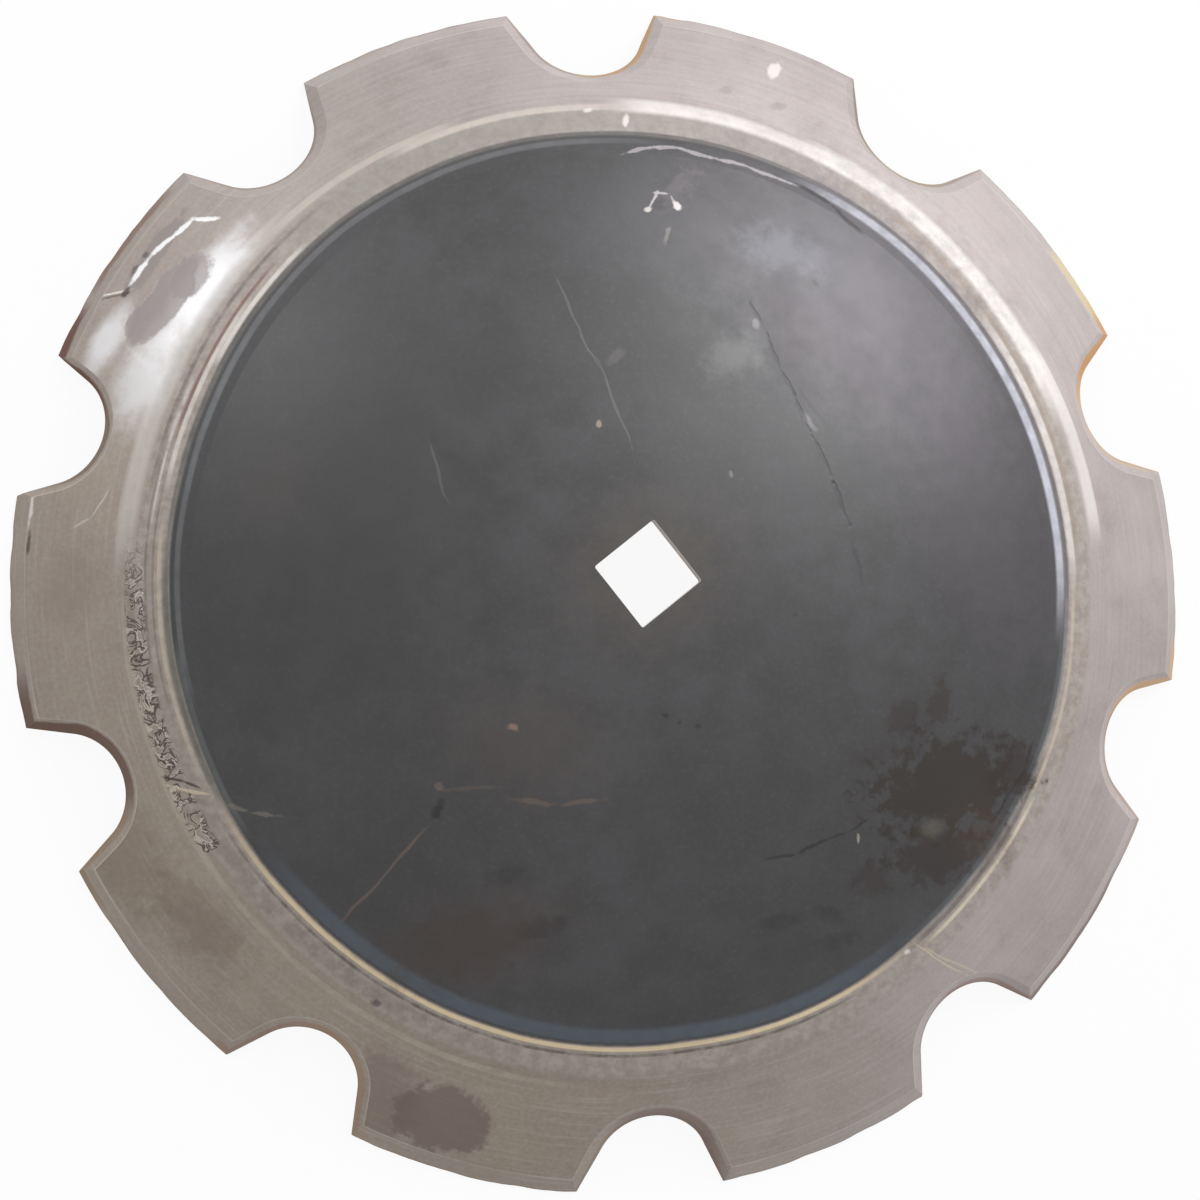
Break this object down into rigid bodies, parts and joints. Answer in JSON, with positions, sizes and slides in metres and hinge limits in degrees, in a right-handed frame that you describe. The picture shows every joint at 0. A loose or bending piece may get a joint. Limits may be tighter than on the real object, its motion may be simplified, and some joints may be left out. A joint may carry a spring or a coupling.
{
  "type": "harrow disc blade",
  "caption": "Dished round steel harrow blade with notches around its ground rim and a square hole in its middle.",
  "frame": {"origin": "on the axis of the dish, in the plane of the tooth tips it rests on", "axes": "+Z along the dish's axis, out of the convex face; the square hole's sides run along X and Y, and a notch is centred on +Y"},
  "size_m": [0.6096, 0.6048, 0.0861],
  "materials": {
    "worn_steel": "dark scale in the middle, bare ground and soil-worn band round the rim"
  },
  "bodies": {
    "root": {"disc_blade": "worn_steel"}
  },
  "joints": []
}
